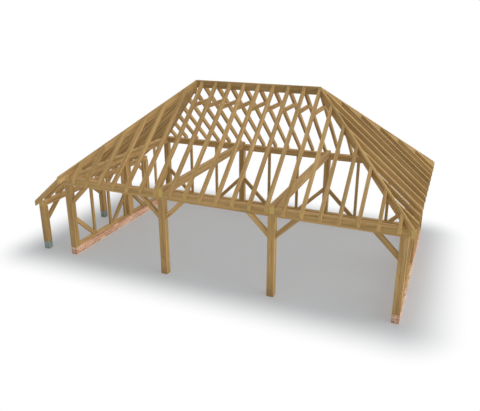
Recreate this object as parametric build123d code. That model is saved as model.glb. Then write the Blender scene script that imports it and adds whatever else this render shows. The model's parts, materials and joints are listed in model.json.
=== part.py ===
from build123d import *
import os
from math import cos, hypot, radians, tan

# An oak roof truss frame: a hipped roof of raftered couples with ridge, hips and collars,
# on wall plates, posts and braces, with a lower aisle along its left-hand end.
# Millimetres. X runs along the ridge, Y to the back, Z up. The origin is on the ground,
# in the middle of the roof's outline.

# Driving dimensions of the plan
bay = 3000
bay_count = 3
post = 180
frame_depth = 5500
aisle_width = 1020
aisle_post = 170
main_overhang = 95
end_overhang = 150

# Driving heights and pitches
plinth_top = 225
sole_depth = 55
plate_underside = 2130
plate_depth = 195
roof_apex = 4800
main_pitch = radians(40.45)
end_pitch = radians(40.25)
pad_height = 225

# Timber sections: thickness across, depth
rafter_width = 75
rafter_depth = 120
hip_width = 75
hip_depth = 200
ridge_width = 50
ridge_depth = 215
collar_depth = 100
collar_top = 4230
tie_width = 140
tie_depth = 200
tie_top = 2400
aisle_plate_depth = 140
aisle_plate_width = 140
brace_width = 120
brace_thickness = 75
sole_width = 150
stud_width = 90
stud_thickness = 60
plinth_width = 180

# Spacing
main_spacing = bay / 7
first_rafter_inset = 205
end_spacing = 467
end_rafter_reach = 5
stud_step_back = bay / 3
first_end_stud = 980
stud_step_end = 780
shortest_stud = 80

# Reach of the braces, measured along the post and along the plate
knee_rise = 590
knee_run = 600
aisle_knee_rise = 500
aisle_knee_run = 580
wall_brace_top = 1150

# Dovetail of each tie beam over the plates
tail_root = 100
tail_end = 130

# Worked out from the driving dimensions
plate_top = plate_underside + plate_depth
sole_top = plinth_top + sole_depth
front_face = -frame_depth / 2
back_face = frame_depth / 2
outline = aisle_width + aisle_post / 2 + bay * bay_count + post / 2 + 2 * end_overhang
first_post = -outline / 2 + end_overhang + aisle_post / 2 + aisle_width
post_x = [first_post + bay * i for i in range(bay_count + 1)]
left_face = post_x[0] - post / 2
right_face = post_x[-1] + post / 2
aisle_x = first_post - aisle_width
aisle_face = aisle_x - aisle_post / 2
main_run = frame_depth / 2
main_drop = main_run * tan(main_pitch)
end_run = main_drop / tan(end_pitch)
ridge_left = left_face + end_run
ridge_right = right_face - end_run
main_rise = rafter_depth / cos(main_pitch)
end_rise = rafter_depth / cos(end_pitch)
aisle_run = ridge_left - aisle_face
aisle_plate_top = roof_apex - aisle_run * tan(end_pitch) - end_rise + (
    plate_top - (roof_apex - end_run * tan(end_pitch) - end_rise))
aisle_plate_underside = aisle_plate_top - aisle_plate_depth

UP = (0, 0, 1)
nodes = {}


def side_plane(origin, outward):
    """The upright plane through origin: local x runs level along outward, local y runs up."""
    across = Vector(*outward).cross(Vector(*UP))
    return Plane(origin=origin, x_dir=outward, z_dir=across)


def board(points, plane, thickness):
    """A timber sawn to the outline, centred on the plane."""
    outline_face = make_face(plane * Polyline(*points, close=True))
    return extrude(outline_face, amount=thickness / 2, both=True)


def block(x0, x1, y0, y1, z0, z1):
    """A squared timber or block between two corners."""
    centre = ((x0 + x1) / 2, (y0 + y1) / 2, (z0 + z1) / 2)
    return Pos(*centre) * Box(x1 - x0, y1 - y0, z1 - z0)


def keep_side(solid, point, normal):
    """The part of the timber on the side of a saw cut that normal points to."""
    return split(solid, bisect_by=Plane(origin=point, z_dir=normal), keep=Keep.TOP)


def hip_direction(side_x, side_y):
    """Plan direction of a hip, from the ridge end down to its corner."""
    length = hypot(end_run, main_run)
    return Vector(side_x * end_run / length, side_y * main_run / length, 0)


def rafter_outline(pitch, depth, start, tail, seats):
    """Side view of a rafter, u outwards and z up, with a birdsmouth on each plate it crosses.

    start and tail are the plan distances of its two plumb cuts from the apex. Each seat is
    the plan distance of a plate's outer face and the height of that plate's top."""
    slope = tan(pitch)
    rise = depth / cos(pitch)

    def top(u):
        return roof_apex - slope * u

    points = [(start, top(start)), (tail, top(tail)), (tail, top(tail) - rise)]
    for outer, height in sorted(seats, reverse=True):
        heel_low = top(outer) - rise
        toe = (roof_apex - rise - height) / slope
        points += [(outer, heel_low), (outer, height), (toe, height)]
    points.append((start, top(start) - rise))
    return points


def main_rafter(x, side_y, start):
    """A rafter of the front or back slope, its middle at x."""
    tail = main_run + main_overhang
    points = rafter_outline(main_pitch, rafter_depth, start, tail, [(main_run, plate_top)])
    return board(points, side_plane((x, 0, 0), (0, side_y, 0)), rafter_width)


def end_rafter(y, side_x, start):
    """A rafter of an end slope, its middle at y. On the left it runs on over the aisle."""
    if side_x > 0:
        tail = end_run + end_overhang
        seats = [(end_run, plate_top)]
        foot = ridge_right
    else:
        tail = aisle_run + end_overhang
        seats = [(end_run, plate_top), (aisle_run, aisle_plate_top)]
        foot = ridge_left
    points = rafter_outline(end_pitch, rafter_depth, start, tail, seats)
    return board(points, side_plane((foot, y, 0), (side_x, 0, 0)), rafter_width)


def hip_cheek(side_x, side_y, face):
    """A point on a hip's upright face and that face's outward normal.

    face is 1 for the face towards the main slope and -1 for the one towards the end slope."""
    along = hip_direction(side_x, side_y)
    across = Vector(-side_x * abs(along.Y), side_y * abs(along.X), 0) * face
    apex = Vector(ridge_right if side_x > 0 else ridge_left, 0, 0)
    return apex + across * (hip_width / 2), across


def ridge_piece():
    """The ridge board, bevelled to the roof slopes and at both ends."""
    ends = ridge_width / 2 * abs(end_run / main_run) + hip_width / abs(hip_direction(1, 1).Y) / 2
    ridge = block(ridge_left - ends, ridge_right + ends, -ridge_width / 2, ridge_width / 2,
                  roof_apex - ridge_depth, roof_apex)
    for side_y in (-1, 1):
        ridge = keep_side(ridge, (0, 0, roof_apex), (0, -side_y * tan(main_pitch), -1))
    for side_x, foot in ((-1, ridge_left), (1, ridge_right)):
        ridge = keep_side(ridge, (foot, 0, roof_apex), (-side_x * tan(end_pitch), 0, -1))
    return ridge, ends


def hip_piece(side_x, side_y, plates):
    """A hip rafter: backed along its top to both slopes, cut against the ridge, notched over
    the corner of the plates, and cut plumb at its tail along both eaves."""
    along = hip_direction(side_x, side_y)
    slope = tan(main_pitch) * abs(along.Y)
    rise = hip_depth * hypot(1, slope)
    foot = ridge_right if side_x > 0 else ridge_left
    tail = hypot(end_run + end_overhang, main_run + main_overhang) + hip_width
    start = -hip_width * 2
    outline_points = [(start, roof_apex - slope * start), (tail, roof_apex - slope * tail),
                      (tail, roof_apex - slope * tail - rise), (start, roof_apex - slope * start - rise)]
    hip = board(outline_points, side_plane((foot, 0, 0), tuple(along)), hip_width)
    hip = keep_side(hip, (0, 0, roof_apex), (0, -side_y * tan(main_pitch), -1))
    hip = keep_side(hip, (foot, 0, roof_apex), (-side_x * tan(end_pitch), 0, -1))
    hip = keep_side(hip, (foot, side_y * ridge_width / 2, 0), (0, side_y, 0))
    hip = keep_side(hip, (foot, side_y * (main_run + main_overhang), 0), (0, -side_y, 0))
    hip = keep_side(hip, (foot + side_x * (end_run + end_overhang), 0, 0), (-side_x, 0, 0))
    for plate in plates:
        hip = hip - plate
    return hip


def knee_outline(rise, run, width):
    """A brace in the corner under a plate, u out from the post and v up from the plate's
    underside, with a shoulder cut at each end."""
    length = hypot(rise, run)
    along_plate = width * length / rise
    along_post = width * length / run
    return [(0, -rise), (run, 0), (run - along_plate, 0), (0, -rise + along_post)]


def knee(corner, outward, rise, run):
    """A knee brace. corner is where the post's face meets the plate's underside."""
    return board(knee_outline(rise, run, brace_width), side_plane(corner, outward), brace_thickness)


def down_brace(corner, outward, height):
    """A brace from a post's face at this height down to the sole plate, at 45 degrees.

    corner is where the post's face meets the top of the sole plate."""
    slant = brace_width * 2 ** 0.5
    points = [(0, height), (height, 0), (height - slant, 0), (0, height - slant)]
    return board(points, side_plane(corner, outward), brace_thickness)


def fuse(solids):
    """Pieces of one kind that stand apart, kept together under one name."""
    return Compound(children=list(solids))


def main_solids(shape, least):
    """The pieces of a cut timber that are big enough to be fitted."""
    return [solid for solid in shape.solids() if solid.volume > least]


# Plates, half lapped at their corners
front_plate = block(left_face, right_face, front_face, front_face + post, plate_underside, plate_top)
back_plate = block(left_face, right_face, back_face - post, back_face, plate_underside, plate_top)
left_plate = block(left_face, left_face + post, front_face, back_face, plate_underside, plate_top)
right_plate = block(right_face - post, right_face, front_face, back_face, plate_underside, plate_top)
half_height = (plate_underside + plate_top) / 2
for x0 in (left_face, right_face - post):
    front_plate -= block(x0, x0 + post, front_face, front_face + post, half_height, plate_top)
    back_plate -= block(x0, x0 + post, back_face - post, back_face, half_height, plate_top)
for y0 in (front_face, back_face - post):
    left_plate -= block(left_face, left_face + post, y0, y0 + post, plate_underside, half_height)
    right_plate -= block(right_face - post, right_face, y0, y0 + post, plate_underside, half_height)
aisle_plate = block(aisle_face, aisle_face + aisle_plate_width, front_face, back_face,
                    aisle_plate_underside, aisle_plate_top)


# Tie beams, dovetailed over the plates
def tie_piece(x):
    body = block(x - tie_width / 2, x + tie_width / 2, front_face, back_face, tie_top - tie_depth, tie_top)
    for side_y in (-1, 1):
        outer = side_y * frame_depth / 2
        inner = outer - side_y * post
        y0, y1 = sorted((outer, inner))
        body -= block(x - tie_width / 2, x + tie_width / 2, y0, y1, tie_top - tie_depth, plate_top)
        tail = [(x - tail_root / 2, inner), (x - tail_end / 2, outer),
                (x + tail_end / 2, outer), (x + tail_root / 2, inner)]
        tail_face = make_face(Plane.XY.offset(tie_top - tie_depth) * Polyline(*tail, close=True))
        body += extrude(tail_face, amount=plate_top - tie_top + tie_depth, dir=UP)
    return body


ties = [tie_piece(x) for x in post_x[1:-1]]
for number, tie in enumerate(ties, start=1):
    nodes[f"tie_beam_{number}"] = tie
    front_plate -= tie
    back_plate -= tie

# Posts. Those in the walls stand on the brick plinth, and the open front's on the ground
for number, x in enumerate(post_x, start=1):
    low = plinth_top if x in (post_x[0], post_x[-1]) else 0
    nodes[f"front_post_{number}"] = block(x - post / 2, x + post / 2, front_face, front_face + post,
                                          low, plate_underside)
    nodes[f"back_post_{number}"] = block(x - post / 2, x + post / 2, back_face - post, back_face,
                                         plinth_top, plate_underside)
for name, x in (("partition", post_x[0]), ("right_wall", post_x[-1])):
    nodes[f"{name}_middle_post"] = block(x - post / 2, x + post / 2, -post / 2, post / 2,
                                         plinth_top, plate_underside)
aisle_post_y = [front_face + aisle_post / 2, 0, back_face - aisle_post / 2]
for number, y in enumerate(aisle_post_y, start=1):
    half = aisle_post / 2
    nodes[f"aisle_post_{number}"] = block(aisle_x - half, aisle_x + half, y - half, y + half,
                                          pad_height, aisle_plate_underside)
nodes["post_pads"] = fuse(block(aisle_x - aisle_post / 2, aisle_x + aisle_post / 2,
                                y - aisle_post / 2, y + aisle_post / 2, 0, pad_height)
                          for y in aisle_post_y)

# Knee braces
knee_y = front_face + post / 2
for number, x in enumerate(post_x, start=1):
    if number > 1:
        nodes[f"knee_brace_{number}_left"] = knee((x - post / 2, knee_y, plate_underside), (-1, 0, 0),
                                                  knee_rise, knee_run)
    if number <= bay_count:
        nodes[f"knee_brace_{number}_right"] = knee((x + post / 2, knee_y, plate_underside), (1, 0, 0),
                                                   knee_rise, knee_run)
aisle_knees = []
for y in aisle_post_y:
    for side_y in (-1, 1):
        if abs(y + side_y * aisle_knee_run) < main_run:
            corner = (aisle_x, y + side_y * aisle_post / 2, aisle_plate_underside)
            aisle_knees.append(knee(corner, (0, side_y, 0), aisle_knee_rise, aisle_knee_run))
nodes["aisle_knee_braces"] = fuse(aisle_knees)

# Sole plates between the posts, on the plinth
back_soles = []
back_y = back_face - post / 2
for x0, x1 in zip(post_x, post_x[1:]):
    back_soles.append(block(x0 + post / 2, x1 - post / 2, back_y - sole_width / 2, back_y + sole_width / 2,
                            plinth_top, sole_top))
nodes["back_sole_plates"] = fuse(back_soles)
end_post_y = [front_face + post / 2, 0, back_face - post / 2]
for name, x in (("partition", post_x[0]), ("right_wall", post_x[-1])):
    soles = []
    for y0, y1 in zip(end_post_y, end_post_y[1:]):
        soles.append(block(x - sole_width / 2, x + sole_width / 2, y0 + post / 2, y1 - post / 2,
                           plinth_top, sole_top))
    nodes[f"{name}_sole_plates"] = fuse(soles)

# Braces and studs of the walls
brace_height = wall_brace_top - sole_top
smallest_stub = stud_width * stud_thickness * shortest_stud


def wall_studs(places, braces):
    """Studs from sole to plate, cut where a brace crosses them."""
    studs = []
    for x0, x1, y0, y1 in places:
        stud = block(x0, x1, y0, y1, sole_top, plate_underside)
        for brace in braces:
            stud = stud - brace
        studs += main_solids(stud, smallest_stub)
    return fuse(studs)


back_braces = []
back_places = []
for number, x in enumerate(post_x):
    if number > 0:
        back_braces.append(down_brace((x - post / 2, back_y, sole_top), (-1, 0, 0), brace_height))
    if number < bay_count:
        back_braces.append(down_brace((x + post / 2, back_y, sole_top), (1, 0, 0), brace_height))
        for step in (1, 2):
            place = x + step * stud_step_back
            back_places.append((place - stud_width / 2, place + stud_width / 2,
                                back_y - stud_thickness / 2, back_y + stud_thickness / 2))
nodes["back_wall_braces"] = fuse(back_braces)
nodes["back_wall_studs"] = wall_studs(back_places, back_braces)

for name, x in (("partition", post_x[0]), ("right_wall", post_x[-1])):
    braces = []
    places = []
    for side_y in (-1, 1):
        corner_y = side_y * (main_run - post)
        braces.append(down_brace((x, corner_y, sole_top), (0, -side_y, 0), brace_height))
        braces.append(down_brace((x, side_y * post / 2, sole_top), (0, side_y, 0), brace_height))
        for step in range(3):
            place = side_y * (main_run - first_end_stud - step * stud_step_end)
            places.append((x - stud_thickness / 2, x + stud_thickness / 2,
                           place - stud_width / 2, place + stud_width / 2))
    nodes[f"{name}_braces"] = fuse(braces)
    nodes[f"{name}_studs"] = wall_studs(places, braces)

# Brick plinths under the walls
nodes["partition_plinth"] = block(left_face, left_face + plinth_width, front_face, back_face - plinth_width,
                                  0, plinth_top)
nodes["right_plinth"] = block(right_face - plinth_width, right_face, front_face, back_face - plinth_width,
                              0, plinth_top)
nodes["back_plinth"] = block(left_face, right_face, back_face - plinth_width, back_face, 0, plinth_top)

# Ridge and hips
ridge, ridge_end = ridge_piece()
nodes["ridge_board"] = ridge
corner_plates = {(-1, -1): (front_plate, left_plate), (1, -1): (front_plate, right_plate),
                 (-1, 1): (back_plate, left_plate), (1, 1): (back_plate, right_plate)}
for (side_x, side_y), plates in corner_plates.items():
    name = f"{'front' if side_y < 0 else 'back'}_{'right' if side_x > 0 else 'left'}_hip"
    nodes[name] = hip_piece(side_x, side_y, plates)

# Rafters of the two main slopes. Between the ridge's ends they are full couples with a
# collar, and beyond them jacks that die on a hip
rafter_x = []
x = right_face - first_rafter_inset
while x > left_face + rafter_width:
    rafter_x.append(x)
    x -= main_spacing
couples = [x for x in rafter_x if ridge_left < x < ridge_right]
for side_y, slope_name in ((-1, "front"), (1, "back")):
    commons = []
    for x in couples:
        rafter = main_rafter(x, side_y, ridge_width / 2)
        for side_x in (-1, 1):
            rafter = keep_side(rafter, *hip_cheek(side_x, side_y, 1))
        commons.append(rafter)
    nodes[f"{slope_name}_rafters"] = fuse(commons)
    for side_x, end_name in ((-1, "left"), (1, "right")):
        point, normal = hip_cheek(side_x, side_y, 1)
        jacks = []
        for x in rafter_x:
            beyond = side_x * x > side_x * (ridge_right if side_x > 0 else ridge_left)
            if beyond:
                jack = keep_side(main_rafter(x, side_y, 0), point, normal)
                jacks.append(jack)
        nodes[f"{slope_name}_{end_name}_jacks"] = fuse(jacks)

# The tie beams are housed for the couple that passes them
for number, tie_x in enumerate(post_x[1:-1], start=1):
    for x in couples:
        if abs(x - tie_x) < (tie_width + rafter_width) / 2:
            for side_y in (-1, 1):
                nodes[f"tie_beam_{number}"] -= main_rafter(x, side_y, ridge_width / 2)

# Rafters of the two end slopes
end_y = [k * end_spacing for k in range(-end_rafter_reach, end_rafter_reach + 1)]
for side_x, end_name in ((-1, "left"), (1, "right")):
    rafters = []
    places = list(end_y)
    if side_x < 0:
        edge = main_run - rafter_width / 2
        places = [-edge] + places + [edge]
    for y in places:
        if y == 0:
            rafter = end_rafter(y, side_x, ridge_end)
            for side_y in (-1, 1):
                rafter = keep_side(rafter, *hip_cheek(side_x, side_y, -1))
        else:
            rafter = end_rafter(y, side_x, 0)
            side_y = 1 if y > 0 else -1
            rafter = keep_side(rafter, *hip_cheek(side_x, side_y, -1))
        rafters.append(rafter)
    nodes[f"{end_name}_end_rafters"] = fuse(rafters)

# Collars between the rafters of each couple
def soffit_reach(height):
    """How far from the middle the rafters' undersides are at this height."""
    return (roof_apex - main_rise - height) / tan(main_pitch)


high = soffit_reach(collar_top)
low = soffit_reach(collar_top - collar_depth)
collar_points = [(-low, collar_top - collar_depth), (low, collar_top - collar_depth),
                 (high, collar_top), (-high, collar_top)]
nodes["collars"] = fuse(board(collar_points, side_plane((x, 0, 0), (0, 1, 0)), rafter_width)
                        for x in couples)

nodes["front_plate"] = front_plate
nodes["back_plate"] = back_plate
nodes["left_plate"] = left_plate
nodes["right_plate"] = right_plate
nodes["aisle_plate"] = aisle_plate

os.makedirs("parts", exist_ok=True)
for name, shape in nodes.items():
    export_step(shape, f"parts/{name}.step")
print(len(nodes), "nodes")
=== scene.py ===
# %% [markdown]
# # An oak roof frame, dressed in Blender
# The real object is a hipped roof of green oak: rafters set up in couples with collars,
# a ridge board, four hips and the jack rafters that die on them. Wall plates and two tie
# beams carry the roof, and posts, braces, studs and low brick plinths carry the plates.
# The solids arrive already cut to size. This lesson turns them into timber, brick and
# stone: it eases the sawn edges, lays real bricks, drives the pegs and mixes the finishes.

# %% Load the solids and keep their outer box
import bmesh
import bpy
import json
import math
import random
from mathutils import Matrix, Vector


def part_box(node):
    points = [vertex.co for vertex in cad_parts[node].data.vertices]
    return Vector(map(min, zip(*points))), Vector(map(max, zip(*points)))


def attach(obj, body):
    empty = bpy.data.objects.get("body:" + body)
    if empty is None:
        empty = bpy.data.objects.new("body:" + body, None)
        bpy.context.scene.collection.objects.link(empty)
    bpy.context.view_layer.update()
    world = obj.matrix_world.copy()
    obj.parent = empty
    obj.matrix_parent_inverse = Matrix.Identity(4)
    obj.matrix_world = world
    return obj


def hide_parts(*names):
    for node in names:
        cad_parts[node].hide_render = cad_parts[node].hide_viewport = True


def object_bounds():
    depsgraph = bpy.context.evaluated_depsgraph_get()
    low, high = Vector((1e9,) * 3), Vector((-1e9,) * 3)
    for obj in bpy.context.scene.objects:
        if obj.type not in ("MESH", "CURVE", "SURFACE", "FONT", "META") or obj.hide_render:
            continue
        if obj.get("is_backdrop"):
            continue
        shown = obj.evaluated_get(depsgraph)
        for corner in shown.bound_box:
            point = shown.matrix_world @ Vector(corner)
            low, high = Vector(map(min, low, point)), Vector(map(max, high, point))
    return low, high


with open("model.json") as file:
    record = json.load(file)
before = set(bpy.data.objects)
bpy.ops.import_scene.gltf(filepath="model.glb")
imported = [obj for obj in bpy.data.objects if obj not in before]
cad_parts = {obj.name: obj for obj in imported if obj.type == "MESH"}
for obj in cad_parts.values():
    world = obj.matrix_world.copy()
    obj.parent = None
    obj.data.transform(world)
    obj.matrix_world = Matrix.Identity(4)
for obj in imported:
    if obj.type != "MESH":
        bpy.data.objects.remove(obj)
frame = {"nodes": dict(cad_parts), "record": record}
cad_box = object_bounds()
draw = random.Random(1851)
bpy.context.scene.view_settings.view_transform = "Standard"
print("solids:", len(frame["nodes"]), "box:", [tuple(round(v, 3) for v in c) for c in cad_box])

# %% [markdown]
# Blender works in metres, and a carpenter thinks in millimetres, so one short function
# turns one into the other. Colours are easiest to read as the hex values of a screen, but
# a shader wants light in equal steps, so a second function turns each value to linear.

# %% Millimetres and colours
def mm(size):
    """A size in millimetres, as metres."""
    return size / 1000


def linear(code):
    """An sRGB hex colour as the linear red, green, blue and alpha of a shader."""
    parts = [int(code[i:i + 2], 16) / 255 for i in (1, 3, 5)]
    straight = [p / 12.92 if p <= 0.04045 else ((p + 0.055) / 1.055) ** 2.4 for p in parts]
    return (*straight, 1.0)


print("a mid oak brown is", [round(c, 3) for c in linear("#a58555")])

# %% [markdown]
# A material is a small graph of nodes. The same three things happen for every node: it is
# made, some of its values are set, and some of its inputs are linked. One function does
# all three, so that each line of a material reads as one step of its recipe.

# %% One function for every node
def add(tree, kind, settings=None, links=None):
    """Adds a node, sets its properties or input values, and links its inputs."""
    node = tree.nodes.new(kind)
    for name, value in (settings or {}).items():
        if name == "stops":
            ramp = node.color_ramp
            while len(ramp.elements) < len(value):
                ramp.elements.new(0.5)
            for element, (place, colour) in zip(ramp.elements, value):
                element.position = place
                element.color = linear(colour)
        elif isinstance(name, str) and hasattr(node, name):
            setattr(node, name, value)
        else:
            node.inputs[name].default_value = value
    for name, source in (links or {}).items():
        tree.links.new(source, node.inputs[name])
    return node


def new_material(name):
    """An empty material and its node tree."""
    material = bpy.data.materials.new(name)
    material.use_nodes = True
    material.node_tree.nodes.clear()
    return material, material.node_tree


# Sockets of the Mix node when it mixes colours
MIX_A, MIX_B, MIX_OUT = 6, 7, 2
print("node helper ready")

# %% [markdown]
# ## Sawn green oak
# The timber is sawn from the log while it is wet and left as it comes off the saw. The eye
# sees long streaks of straw and brown along each piece, growth rings on the ends, fine
# fibre, faint saw marks across the face, and drying checks that run with the grain.
# A picture pasted on each face would repeat and would run the wrong way on half of the
# timbers. Instead each piece carries its own grain coordinates: x runs along the piece, and
# y and z measure across it from the heart of the tree. All the patterns are drawn in that
# space, in real sizes, so the rings on an end meet the streaks on the sides.

# %% Oak: coordinates and the long streaks
def stretched(tree, source, along, across, detail=3.0):
    """Noise drawn out along the grain: one blotch is this long and this wide, in mm."""
    size = (1 / mm(along), 1 / mm(across), 1 / mm(across))
    place = add(tree, "ShaderNodeVectorMath", {"operation": "MULTIPLY", 1: size}, {0: source})
    noise = add(tree, "ShaderNodeTexNoise", {"Scale": 1.0, "Detail": detail},
                {"Vector": place.outputs[0]})
    return noise.outputs["Fac"]


oak, oak_tree = new_material("sawn_green_oak")
grain = add(oak_tree, "ShaderNodeAttribute", {"attribute_name": "grain"}).outputs["Vector"]
tone = add(oak_tree, "ShaderNodeAttribute", {"attribute_name": "tone"}).outputs["Fac"]
end = add(oak_tree, "ShaderNodeAttribute", {"attribute_name": "end"}).outputs["Fac"]
streak = stretched(oak_tree, grain, 1400, 70)
fibre = stretched(oak_tree, grain, 180, 9)
heartwood = add(oak_tree, "ShaderNodeValToRGB", {"stops": [
    (0.30, "#957547"), (0.46, "#a98855"), (0.58, "#b4915d"), (0.72, "#bf9e69")]},
    {"Fac": streak}).outputs[0]
print("oak streaks 1400 x 70 mm, fibre 180 x 9 mm")

# %% [markdown]
# The rings are a wave that runs outwards from the heart. Real rings are 2 to 4 mm wide,
# which is finer than the picture can show, so they are drawn 11 mm wide here. The late wood
# of each ring is browner, so the wave darkens the colour a little.

# %% Oak: rings
ring_width = mm(11)
late_wood, late_share = linear("#7a5d33"), 0.26
# The wave texture repeats after 2 pi / 20 units, so this over a width gives its scale
wave_turn = 2 * math.pi / 20
rings = add(oak_tree, "ShaderNodeTexWave", {
    "wave_type": "RINGS", "rings_direction": "X", "Scale": wave_turn / ring_width,
    "Distortion": 3.0, "Detail": 2.0, "Detail Scale": 0.4}, {"Vector": grain}).outputs["Fac"]
late = add(oak_tree, "ShaderNodeMapRange", {
    "From Min": 0.55, "From Max": 1.0, "To Min": 0.0, "To Max": late_share},
    {"Value": rings}).outputs[0]
ringed = add(oak_tree, "ShaderNodeMix", {"data_type": "RGBA", MIX_B: late_wood},
             {0: late, MIX_A: heartwood}).outputs[MIX_OUT]
print("rings every", round(ring_width * 1000), "mm")

# %% [markdown]
# Each tree also has its own tone, which a random number for each piece sets, and freshly
# cut ends are paler and yellower than the sides. The fibre makes the finest change of all.

# %% Oak: ends, tone and fibre
fresh_cut, fresh_share = linear("#cbb066"), 0.9
tone_low, tone_high = 0.86, 1.12
fibre_low, fibre_high = 0.92, 1.07
fresh_here = add(oak_tree, "ShaderNodeMath", {"operation": "MULTIPLY", 1: fresh_share},
                 {0: end}).outputs[0]
ended = add(oak_tree, "ShaderNodeMix", {"data_type": "RGBA", MIX_B: fresh_cut},
            {0: fresh_here, MIX_A: ringed}).outputs[MIX_OUT]
tree_tone = add(oak_tree, "ShaderNodeMapRange", {"To Min": tone_low, "To Max": tone_high},
                {"Value": tone}).outputs[0]
fleck = add(oak_tree, "ShaderNodeMapRange", {
    "From Min": 0.3, "From Max": 0.7, "To Min": fibre_low, "To Max": fibre_high},
    {"Value": fibre}).outputs[0]
level = add(oak_tree, "ShaderNodeMath", {"operation": "MULTIPLY"},
            {0: tree_tone, 1: fleck}).outputs[0]
toned = add(oak_tree, "ShaderNodeHueSaturation", {}, {"Value": level, "Color": ended}).outputs[0]
print("tone of a tree from", tone_low, "to", tone_high)

# %% [markdown]
# As oak dries it opens in long thin checks. They are where a very stretched noise crosses
# its middle value, which draws thin broken lines along the grain. A second noise decides
# which stretches of those lines are open.

# %% Oak: drying checks
check_width, check_share = 0.012, 0.7
check_field = stretched(oak_tree, grain, 900, 55, 1.0)
check_patch = stretched(oak_tree, grain, 700, 120, 1.0)
check_gap = add(oak_tree, "ShaderNodeMath", {"operation": "SUBTRACT", 1: 0.5},
                {0: check_field}).outputs[0]
check_near = add(oak_tree, "ShaderNodeMath", {"operation": "ABSOLUTE"}, {0: check_gap}).outputs[0]
check_line = add(oak_tree, "ShaderNodeMapRange", {
    "From Min": 0.0, "From Max": check_width, "To Min": 1.0, "To Max": 0.0},
    {"Value": check_near}).outputs[0]
check_open = add(oak_tree, "ShaderNodeMapRange", {"From Min": 0.56, "From Max": 0.62},
                 {"Value": check_patch}).outputs[0]
check = add(oak_tree, "ShaderNodeMath", {"operation": "MULTIPLY"},
            {0: check_line, 1: check_open}).outputs[0]
check_tint = add(oak_tree, "ShaderNodeMath", {"operation": "MULTIPLY", 1: check_share},
                 {0: check}).outputs[0]
checked = add(oak_tree, "ShaderNodeMix", {"data_type": "RGBA", MIX_B: linear("#4a3519")},
              {0: check_tint, MIX_A: toned}).outputs[MIX_OUT]
print("checks in blotches of 900 x 55 mm")

# %% [markdown]
# Near the ground rain splashes up and darkens the wood, so the colour falls off over the
# lowest 300 mm. The saw leaves marks 3 mm apart, drawn 14 mm apart here for the same reason
# as the rings, and they lift the surface a little together with the fibre. The checks sink
# into it. Raw oak has no gloss: it is rough, and a little less so on the hard fibres.

# %% Oak: splash, relief and skin
saw_step = mm(14)
splash_low, splash_high = mm(20), mm(320)
spot = add(oak_tree, "ShaderNodeNewGeometry").outputs["Position"]
height = add(oak_tree, "ShaderNodeSeparateXYZ", {}, {0: spot}).outputs["Z"]
splash = add(oak_tree, "ShaderNodeMapRange", {
    "From Min": splash_low, "From Max": splash_high, "To Min": 0.28, "To Max": 0.0},
    {"Value": height}).outputs[0]
splashed = add(oak_tree, "ShaderNodeMix", {"data_type": "RGBA", MIX_B: linear("#6b5639")},
               {0: splash, MIX_A: checked}).outputs[MIX_OUT]
sawn = add(oak_tree, "ShaderNodeTexWave", {
    "bands_direction": "X", "Scale": wave_turn / saw_step, "Distortion": 1.5,
    "Detail Scale": 0.3}, {"Vector": grain}).outputs["Fac"]
ridges = add(oak_tree, "ShaderNodeMath", {"operation": "MULTIPLY_ADD", 1: 0.18},
             {0: sawn, 2: fibre}).outputs[0]
relief = add(oak_tree, "ShaderNodeMath", {"operation": "SUBTRACT"},
             {0: ridges, 1: check}).outputs[0]
bump = add(oak_tree, "ShaderNodeBump", {"Strength": 0.45, "Distance": mm(2)},
           {"Height": relief}).outputs[0]
rough = add(oak_tree, "ShaderNodeMapRange", {
    "From Min": 0.3, "From Max": 0.7, "To Min": 0.66, "To Max": 0.88},
    {"Value": fibre}).outputs[0]
oak_skin = add(oak_tree, "ShaderNodeBsdfPrincipled", {"IOR": 1.5, "Specular IOR Level": 0.3},
               {"Base Color": splashed, "Roughness": rough, "Normal": bump}).outputs[0]
add(oak_tree, "ShaderNodeOutputMaterial", {}, {"Surface": oak_skin})
print("oak nodes:", len(oak_tree.nodes))

# %% [markdown]
# ## Fired clay brick
# The bricks are pressed in a mould and fired, so every brick has its own tone from salmon
# to brown, a sandy face and slightly soft edges. Each brick carries a random tone, and two
# noises give the sand and the darker fire marks. Sand is finer than the picture can show,
# so its grit is drawn 9 mm wide.

# %% Fired clay brick
sand_grit, fire_mark = mm(9), mm(110)
brick, brick_tree = new_material("fired_clay_brick")
clay_place = add(brick_tree, "ShaderNodeAttribute", {"attribute_name": "grain"}).outputs["Vector"]
clay_tone = add(brick_tree, "ShaderNodeAttribute", {"attribute_name": "tone"}).outputs["Fac"]
sand = add(brick_tree, "ShaderNodeTexNoise", {"Scale": 1 / sand_grit, "Detail": 4.0},
           {"Vector": clay_place}).outputs["Fac"]
flame = add(brick_tree, "ShaderNodeTexNoise", {"Scale": 1 / fire_mark, "Detail": 2.0},
            {"Vector": clay_place}).outputs["Fac"]
clay = add(brick_tree, "ShaderNodeValToRGB", {"stops": [
    (0.0, "#b07a5c"), (0.35, "#c48f70"), (0.7, "#d3a283"), (1.0, "#deb596")]},
    {"Fac": clay_tone}).outputs[0]
fired = add(brick_tree, "ShaderNodeMapRange", {
    "From Min": 0.5, "From Max": 0.75, "To Min": 0.0, "To Max": 0.45},
    {"Value": flame}).outputs[0]
flamed = add(brick_tree, "ShaderNodeMix", {"data_type": "RGBA", MIX_B: linear("#a06a50")},
             {0: fired, MIX_A: clay}).outputs[MIX_OUT]
sanded = add(brick_tree, "ShaderNodeMapRange", {"To Min": 0.82, "To Max": 1.16},
             {"Value": sand}).outputs[0]
brick_colour = add(brick_tree, "ShaderNodeHueSaturation", {},
                   {"Value": sanded, "Color": flamed}).outputs[0]
brick_bump = add(brick_tree, "ShaderNodeBump", {"Strength": 0.5, "Distance": mm(2)},
                 {"Height": sand}).outputs[0]
brick_rough = add(brick_tree, "ShaderNodeMapRange", {"To Min": 0.75, "To Max": 0.95},
                  {"Value": sand}).outputs[0]
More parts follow.
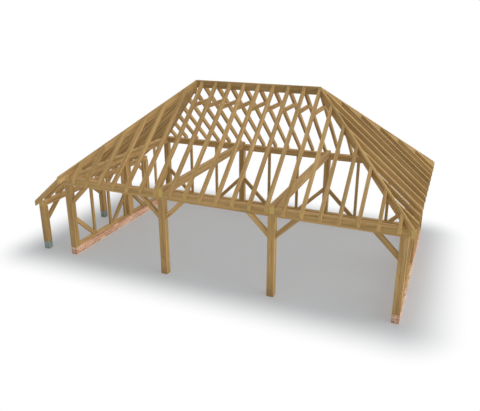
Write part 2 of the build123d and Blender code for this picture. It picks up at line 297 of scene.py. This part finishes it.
brick_skin = add(brick_tree, "ShaderNodeBsdfPrincipled", {"IOR": 1.5}, {
    "Base Color": brick_colour, "Roughness": brick_rough, "Normal": brick_bump}).outputs[0]
add(brick_tree, "ShaderNodeOutputMaterial", {}, {"Surface": brick_skin})
print("brick nodes:", len(brick_tree.nodes))

# %% [markdown]
# ## Lime mortar and sandstone
# The mortar between the bricks is pale and gritty. The low posts of the aisle stand on sawn
# blocks of blue-grey sandstone, which keep their feet out of the wet: a dense, dull stone
# with a fine grit and soft darker clouds. Both are one recipe, two tones that a fine grit
# and a wide blotch mix, with colours and sizes of their own.

# %% Lime mortar and sandstone
def gritty(name, dark, pale, grit, blotch, roughness):
    """A mineral finish of two tones: grit this fine and blotches this wide, in mm."""
    material, tree = new_material(name)
    where = add(tree, "ShaderNodeNewGeometry").outputs["Position"]
    fine = add(tree, "ShaderNodeTexNoise", {"Scale": 1 / mm(grit), "Detail": 3.0},
               {"Vector": where}).outputs["Fac"]
    wide = add(tree, "ShaderNodeTexNoise", {"Scale": 1 / mm(blotch), "Detail": 2.0},
               {"Vector": where}).outputs["Fac"]
    both = add(tree, "ShaderNodeMath", {"operation": "MULTIPLY_ADD", 1: 0.5},
               {0: fine, 2: wide}).outputs[0]
    share = add(tree, "ShaderNodeMapRange", {"From Min": 0.5, "From Max": 1.0},
                {"Value": both}).outputs[0]
    colour = add(tree, "ShaderNodeMix", {
        "data_type": "RGBA", MIX_A: linear(dark), MIX_B: linear(pale)},
        {0: share}).outputs[MIX_OUT]
    spread = add(tree, "ShaderNodeMapRange", {"To Min": roughness - 0.12, "To Max": roughness},
                 {"Value": fine}).outputs[0]
    tooth = add(tree, "ShaderNodeBump", {"Strength": 0.5, "Distance": mm(1.5)},
                {"Height": fine}).outputs[0]
    skin = add(tree, "ShaderNodeBsdfPrincipled", {"IOR": 1.5},
               {"Base Color": colour, "Roughness": spread, "Normal": tooth}).outputs[0]
    add(tree, "ShaderNodeOutputMaterial", {}, {"Surface": skin})
    return material


mortar = gritty("lime_mortar", "#cdbba2", "#e8dcc8", 5, 90, 0.95)
sandstone = gritty("sawn_sandstone", "#677370", "#969e96", 7, 160, 0.85)
print("mineral finishes:", mortar.name, sandstone.name)

# %% [markdown]
# ## From solid to timber
# A loaded solid is a bag of triangles, and one name may hold several timbers. They are
# pulled apart here: doubled corners are joined, flat triangles are merged back into whole
# faces, and every connected group becomes a timber of its own. The length of a timber is
# the direction of its longest edge, and its face is the largest flat beside that edge.

# %% Pull a node apart into its timbers
same_corner = mm(0.05)
flat_angle = math.radians(0.5)
# The cosine between a face and the length of its timber: ends are above the first of
# these, and sides are below the second
end_cosine, side_cosine = 0.5, 0.1


def clean_solid(node):
    """The node's mesh with whole flat faces."""
    solid = bmesh.new()
    solid.from_mesh(frame["nodes"][node].data)
    bmesh.ops.remove_doubles(solid, verts=solid.verts, dist=same_corner)
    bmesh.ops.dissolve_limit(solid, angle_limit=flat_angle, verts=solid.verts, edges=solid.edges)
    solid.verts.index_update()
    return solid


def connected(solid):
    """Lists of the corners of each connected piece, in the order of the mesh."""
    seen, groups = set(), []
    for start in solid.verts:
        if start.index in seen:
            continue
        found, waiting = [], [start]
        seen.add(start.index)
        while waiting:
            corner = waiting.pop()
            found.append(corner)
            for edge in corner.link_edges:
                other = edge.other_vert(corner)
                if other.index not in seen:
                    seen.add(other.index)
                    waiting.append(other)
        groups.append(sorted(found, key=lambda v: v.index))
    return groups


def timbers_of(node):
    """Every separate piece of a node, each as a mesh of its own."""
    solid = clean_solid(node)
    pieces = []
    for corners in connected(solid):
        piece = bmesh.new()
        copy = {corner.index: piece.verts.new(corner.co) for corner in corners}
        for face in solid.faces:
            if face.verts[0].index in copy:
                piece.faces.new([copy[v.index] for v in face.verts])
        piece.normal_update()
        pieces.append(piece)
    solid.free()
    return pieces


def is_end(face, along):
    """Whether a face is a cut end of a timber that runs along this direction."""
    return abs(face.normal.dot(along)) > end_cosine


def axes_of(piece):
    """The directions along a timber, across its largest side, and through it."""
    longest = max(piece.edges, key=lambda e: round(e.calc_length(), 5))
    along = (longest.verts[1].co - longest.verts[0].co).normalized()
    sides = [f for f in piece.faces if abs(f.normal.dot(along)) < side_cosine]
    through = max(sides, key=lambda f: round(f.calc_area(), 6)).normal.normalized()
    across = through.cross(along).normalized()
    return along, across, through


print("timbers in the collars' node:", len(timbers_of("collars")))

# %% [markdown]
# The carpenter takes the sharp arris off every timber with a plane, about 4 mm wide. The
# bevel is cut on each piece before its grain is laid, and the result goes on a stack that
# becomes one Blender object for each node. A small box of numbers travels with each corner:
# the grain coordinates, the tone of that piece, and whether the face is end grain.

# %% Stack pieces into one object
sharp_angle = math.radians(20)
longest_log = 50
# How newly cut an end looks, from 0, weathered, to 1, straight off the saw
weathered_end, sawn_end = 0.3, 1.0
layers = (("grain", "FLOAT_VECTOR", "POINT"), ("tone", "FLOAT", "POINT"), ("end", "FLOAT", "FACE"))


def new_stack():
    """Where the corners, faces and numbers of several pieces collect."""
    return {"points": [], "faces": [], "grain": [], "tone": [], "end": []}


def ease(piece, width):
    """Planes the sharp edges off a piece."""
    sharp = [e for e in piece.edges
             if len(e.link_faces) == 2 and e.calc_face_angle(0) > sharp_angle]
    bmesh.ops.bevel(piece, geom=sharp, offset=width, segments=1, affect="EDGES", clamp_overlap=True)
    piece.normal_update()


def stack_piece(stack, piece, axes, arris, heart_reach, fresh=weathered_end):
    """Eases a piece and adds it to the stack with its own grain, tone and ends."""
    along, across, through = axes
    middle = sum((v.co for v in piece.verts), Vector()) / len(piece.verts)
    heart = Vector((draw.uniform(0, longest_log), draw.uniform(-1, 1) * heart_reach,
                    draw.uniform(-1, 1) * heart_reach))
    shade = draw.random()
    if arris:
        ease(piece, arris)
    first = len(stack["points"])
    piece.verts.index_update()
    for corner in piece.verts:
        offset = corner.co - middle
        local = Vector((offset.dot(along), offset.dot(across), offset.dot(through)))
        stack["points"].append(corner.co.copy())
        stack["grain"].append(local + heart)
        stack["tone"].append(shade)
    for face in piece.faces:
        stack["faces"].append([first + v.index for v in face.verts])
        stack["end"].append(fresh if is_end(face, along) else 0.0)
    piece.free()


def finish_piece(name, stack, material, nodes=()):
    """Turns a stack into an object that rides on the frame and stands for its nodes."""
    mesh = bpy.data.meshes.new(name)
    mesh.from_pydata(stack["points"], [], stack["faces"])
    for title, kind, domain in layers:
        values = stack[title]
        layer = mesh.attributes.new(title, kind, domain)
        if kind == "FLOAT_VECTOR":
            layer.data.foreach_set("vector", [c for v in values for c in v])
        else:
            layer.data.foreach_set("value", values)
    mesh.materials.append(material)
    made = bpy.data.objects.new(name, mesh)
    bpy.context.scene.collection.objects.link(made)
    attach(made, "root")
    if nodes:
        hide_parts(*nodes)
    return made


print("stack helpers ready")

# %% [markdown]
# ## The timbers
# Every solid of the oak slot now becomes timber. The heart of the tree lies near the
# middle of a squared post, because a post is sawn from one small log, and well outside a
# thin rafter, because several rafters are sawn from one big log. That is the reach of the
# heart, and it decides whether a face shows straight lines or the arches of a plain cut.
# The ends of the two tie beams were sawn last of all, so they are the yellowest.

# %% Make the timbers
slot_of = {part["node"]: part["material_slot"] for part in frame["record"]["subparts"]}
squared = ("post", "plate", "tie_beam")
squared_reach, thin_reach = mm(40), mm(130)
timber_arris = mm(4)
timber_count = 0
for node in sorted(slot_of):
    if slot_of[node] != "oak":
        continue
    reach = squared_reach if any(word in node for word in squared) else thin_reach
    fresh = sawn_end if "tie_beam" in node else weathered_end
    stack = new_stack()
    for piece in timbers_of(node):
        stack_piece(stack, piece, axes_of(piece), timber_arris, reach, fresh)
        timber_count += 1
    finish_piece(f"{node}_oak", stack, oak, [node])
print("timbers:", timber_count)

# %% [markdown]
# ## Oak pegs
# Green oak is jointed with tenons, and each tenon is held by tapered oak pegs, 22 mm thick,
# driven through holes bored slightly out of line so that they pull the joint tight. Their
# ends stand a little proud. A brace meets its neighbours at its two cut ends, so the peg
# sits just past each cut, inside the timber that the brace is let into, and runs through it.

# %% Pegs through the brace, post and collar joints
peg_width, peg_proud, peg_depth = mm(22), mm(9), mm(48)
peg_taper, peg_sides = 0.05, 10
peg_reach = mm(10)
peg_stack = new_stack()


def peg(centre, direction, length):
    """A tapered peg with its middle at centre, which runs right through a timber."""
    piece = bmesh.new()
    turn = Vector(direction).to_track_quat("Z", "Y").to_matrix().to_4x4()
    bmesh.ops.create_cone(piece, cap_ends=True, segments=peg_sides,
                          radius1=peg_width * (0.5 + peg_taper), radius2=peg_width * (0.5 - peg_taper),
                          depth=length + 2 * peg_proud, matrix=Matrix.Translation(centre) @ turn)
    piece.normal_update()
    along = Vector(direction).normalized()
    across = along.orthogonal().normalized()
    stack_piece(peg_stack, piece, (along, across, along.cross(across)), 0, peg_reach)


def end_cuts(piece):
    """The middle and the outward direction of each cut end of a timber."""
    along = axes_of(piece)[0]
    return [(f.calc_center_median(), f.normal.copy()) for f in piece.faces if is_end(f, along)]


def peg_ends(node, direction, length):
    """Pegs past both cut ends of every piece of a node."""
    for piece in timbers_of(node):
        for centre, outward in end_cuts(piece):
            peg(centre + outward * peg_depth, direction, length)
        piece.free()


def peg_count():
    """How many pegs are on their stack: each has its sides and two ends."""
    return len(peg_stack["faces"]) // (peg_sides + 2)


along_x, along_y = (1, 0, 0), (0, 1, 0)
post_size, aisle_post_size, rafter_width = mm(180), mm(170), mm(75)
for node in sorted(slot_of):
    if node.startswith("knee_brace"):
        peg_ends(node, along_y, post_size)
peg_ends("back_wall_braces", along_y, post_size)
peg_ends("partition_braces", along_x, post_size)
peg_ends("right_wall_braces", along_x, post_size)
peg_ends("aisle_knee_braces", along_x, aisle_post_size)
peg_ends("collars", along_x, rafter_width)
print("pegs in braces and collars:", peg_count())

# %% [markdown]
# The head of each post has a tenon in the plate above it, and two pegs side by side hold
# that. They run across the plate, so they point along y under the front and back plates
# and along x under the end plates and the low plate of the aisle.

# %% Pegs through the plates over the posts
head_rise, head_step = mm(60), mm(45)


def head_pegs(post, plate, axis):
    """Two pegs through the plate, over the head of a post."""
    low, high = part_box(post)
    plate_low, plate_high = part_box(plate)
    centre = (low + high) / 2
    centre.z = high.z + head_rise
    centre[axis] = (plate_low[axis] + plate_high[axis]) / 2
    side = 1 - axis
    for step in (-head_step, head_step):
        place = centre.copy()
        place[side] += step
        peg(place, (along_x, along_y)[axis], plate_high[axis] - plate_low[axis])


for number in range(1, 5):
    head_pegs(f"front_post_{number}", "front_plate", 1)
    head_pegs(f"back_post_{number}", "back_plate", 1)
head_pegs("partition_middle_post", "left_plate", 0)
head_pegs("right_wall_middle_post", "right_plate", 0)
for number in range(1, 4):
    head_pegs(f"aisle_post_{number}", "aisle_plate", 0)
finish_piece("oak_pegs", peg_stack, oak)
print("pegs in all:", peg_count())

# %% [markdown]
# ## Brick plinths
# Each plinth is three courses of brick laid in stretcher bond, two bricks side by side with
# a mortar joint between them. A drawn brick pattern would show no depth at the joints, so
# every brick is a solid of its own, with soft edges and its own tone, around a core of
# mortar that lies 3 mm back. Every second course starts with half a brick, and a rest that
# is too short for a brick of its own joins the last one.

# %% Lay the bricks
brick_length, brick_height, joint = mm(212), mm(62), mm(13)
course = brick_height + joint
rake, brick_arris = mm(3), mm(3)
least_rest, least_brick = mm(30), mm(60)
brick_reach, mortar_reach = mm(900), mm(100)
upright = (Vector((1, 0, 0)), Vector((0, 1, 0)), Vector((0, 0, 1)))


def stack_block(stack, low, high, arris, heart_reach):
    """A block between two corners, on the stack."""
    piece = bmesh.new()
    place = Matrix.Translation((low + high) / 2) @ Matrix.Diagonal((*(high - low), 1.0))
    bmesh.ops.create_cube(piece, size=1.0, matrix=place)
    piece.normal_update()
    stack_piece(stack, piece, upright, arris, heart_reach)


def lay_course(stack, low, high, run, bottom, first_length):
    """The bricks of one course, in two rows. run is the axis that the course follows."""
    side = 1 - run
    leaf = (high[side] - low[side] - joint) / 2
    for start in (low[side], high[side] - leaf):
        place, length = low[run], first_length
        while high[run] - place > least_rest:
            stop = min(place + length, high[run])
            if high[run] - stop < least_brick:
                stop = high[run]
            near, far = Vector((0, 0, bottom)), Vector((0, 0, bottom + brick_height))
            near[run], far[run] = place, stop
            near[side], far[side] = start, start + leaf
            stack_block(stack, near, far, brick_arris, brick_reach)
            place, length = stop + joint, brick_length


def lay_plinth(node, run):
    """A plinth of bricks round a core of mortar, in the node's box."""
    low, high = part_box(node)
    bricks, core = new_stack(), new_stack()
    half_brick = (brick_length - joint) / 2
    for level in range(round((high.z - low.z) / course)):
        first_length = half_brick if level % 2 else brick_length
        lay_course(bricks, low, high, run, low.z + level * course + joint, first_length)
    made = finish_piece(f"{node}_bricks", bricks, brick, [node])
    back = Vector((rake, rake, 0))
    stack_block(core, low + back, high - back - Vector((0, 0, rake)), 0, mortar_reach)
    finish_piece(f"{node}_mortar", core, mortar)
    return len(made.data.polygons)


for node, run in (("partition_plinth", 1), ("right_plinth", 1), ("back_plinth", 0)):
    print(node, "faces:", lay_plinth(node, run))

# %% [markdown]
# ## Padstones under the aisle posts
# The stones are plain sawn blocks with worn edges, so their solids are used as they are,
# with a broader bevel than the timber has.

# %% Dress the padstones
stone_arris, stone_reach = mm(9), mm(500)
stone_stack = new_stack()
for piece in timbers_of("post_pads"):
    stack_piece(stone_stack, piece, axes_of(piece), stone_arris, stone_reach)
finish_piece("padstones", stone_stack, sandstone, ["post_pads"])
print("padstone faces:", len(stone_stack["faces"]))

# %% [markdown]
# ## Floor, light and camera
# The floor is plain and pale. Near the frame it is matt light grey, the floor's own grey and also a
# painted shade round the frame, where the real soft shadow falls too. Further out it fades to white,
# so that the edge of the floor never shows.

# %% Floor
floor_width = 240
# The grey, painted shade as well as the floor's own tone, reaches this far from the middle along x and
# y, then fades over this width
grey_and_shade_reach, fade_width = (5.0, 2.7, 0), 1.6
floor_material, floor_tree = new_material("pale_floor")
floor_spot = add(floor_tree, "ShaderNodeNewGeometry").outputs["Position"]
from_middle = add(floor_tree, "ShaderNodeVectorMath", {"operation": "ABSOLUTE"},
                  {0: floor_spot}).outputs[0]
past = add(floor_tree, "ShaderNodeVectorMath", {"operation": "SUBTRACT", 1: grey_and_shade_reach},
           {0: from_middle}).outputs[0]
outside = add(floor_tree, "ShaderNodeVectorMath", {"operation": "MAXIMUM", 1: (0, 0, 0)},
              {0: past}).outputs[0]
away = add(floor_tree, "ShaderNodeVectorMath", {"operation": "LENGTH"},
           {0: outside}).outputs["Value"]
fade = add(floor_tree, "ShaderNodeMapRange", {
    "interpolation_type": "SMOOTHSTEP", "From Min": 0.0, "From Max": fade_width},
    {"Value": away}).outputs[0]
# Matt light grey near the frame: painted shade round it, on top of the floor's own grey
grey_shade_floor = add(floor_tree, "ShaderNodeBsdfDiffuse", {"Color": linear("#bbbcbe")}).outputs[0]
white = add(floor_tree, "ShaderNodeEmission", {"Strength": 1.0}).outputs[0]
mixed = add(floor_tree, "ShaderNodeMixShader", {}, {0: fade, 1: grey_shade_floor, 2: white}).outputs[0]
add(floor_tree, "ShaderNodeOutputMaterial", {}, {"Surface": mixed})
bpy.ops.mesh.primitive_plane_add(size=floor_width, location=(0, 0, 0))
floor = bpy.context.object
floor.name = "floor"
floor.data.materials.append(floor_material)
floor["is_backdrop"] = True
print("floor", floor_width, "m wide")

# %% [markdown]
# The photograph is lit evenly: right-hand faces and tops are equally bright, fronts are a
# quarter darker, and the timbers throw hardly any shade on each other. One broad lamp low on
# the right keeps a soft shadow on the floor. Three more lamps throw no shadow, so they
# reach in under the rafters: one from the right, one from above, and one from behind, so
# that the back is lit too.

# %% Lamps
lamp_angle = math.radians(60)
lamps = (("soft_key", (1.0, 0.0, 0.2), 1.35, True), ("side_fill", (1.0, 0.0, 0.0), 1.5, False),
         ("top_fill", (0.0, 0.0, 1.0), 1.35, False), ("back_fill", (-0.6, 0.8, 0.1), 1.0, False))
for name, towards, strength, shadow in lamps:
    lamp_data = bpy.data.lights.new(name, "SUN")
    lamp_data.energy = strength
    lamp_data.angle = lamp_angle
    lamp_data.use_shadow = shadow
    lamp = bpy.data.objects.new(name, lamp_data)
    lamp.rotation_euler = Vector(towards).to_track_quat("Z", "Y").to_euler()
    bpy.context.scene.collection.objects.link(lamp)
print("lamps:", [name for name, *rest in lamps])

# %% [markdown]
# A faintly blue sky fills the rest. Camera and mirror rays see plain white behind the
# frame, while the light that falls on it stays at a plain level.

# %% Sky
sky_strength = 0.36
world = bpy.data.worlds.new("studio")
world.use_nodes = True
sky = world.node_tree
sky.nodes.clear()
rays = add(sky, "ShaderNodeLightPath").outputs
direct = add(sky, "ShaderNodeMath", {"operation": "MAXIMUM"},
             {0: rays["Is Camera Ray"], 1: rays["Is Glossy Ray"]}).outputs[0]
seen_white = add(sky, "ShaderNodeMath", {"operation": "MAXIMUM"},
                 {0: direct, 1: rays["Is Transmission Ray"]}).outputs[0]
fill = add(sky, "ShaderNodeBackground", {
    "Color": linear("#eefaff"), "Strength": sky_strength}).outputs[0]
plain = add(sky, "ShaderNodeBackground", {"Color": linear("#ffffff"), "Strength": 1.0}).outputs[0]
backdrop = add(sky, "ShaderNodeMixShader", {}, {0: seen_white, 1: fill, 2: plain}).outputs[0]
add(sky, "ShaderNodeOutputWorld", {}, {"Surface": backdrop})
bpy.context.scene.world = world
print("sky strength", sky_strength)

# %% [markdown]
# The camera stands in front and to the right, above the plates, and looks down a little.
# Its place and lens were worked out from the posts, plates, eaves and ridge as they appear
# in the photograph. The small shift puts the middle of the lens where the picture has it.

# %% Camera
photo_width, photo_height = 480, 411
focal_px, axis_px = 516.06, 192.13
camera_place = (5.7075, -13.3130, 6.6660)
look_down, turn_left = math.radians(19.380), math.radians(23.039)
camera_data = bpy.data.cameras.new("camera")
camera_data.sensor_width = 36
camera_data.lens = focal_px / photo_width * camera_data.sensor_width
camera_data.shift_y = (axis_px - photo_height / 2) / photo_width
camera = bpy.data.objects.new("camera", camera_data)
camera.location = camera_place
camera.rotation_euler = (math.pi / 2 - look_down, 0, turn_left)
bpy.context.scene.collection.objects.link(camera)
bpy.context.scene.camera = camera
print("lens", round(camera_data.lens, 2), "shift", round(camera_data.shift_y, 4))

# %% [markdown]
# Last, the outer box of the dressed frame is set beside the box of the bare solids, to show
# that the dressing has not changed any size.

# %% Compare the boxes and finish
dressed_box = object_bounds()
grown = [round(1000 * (b - a), 2) for c, d in zip(cad_box, dressed_box) for a, b in zip(c, d)]
print("grown by mm:", grown)
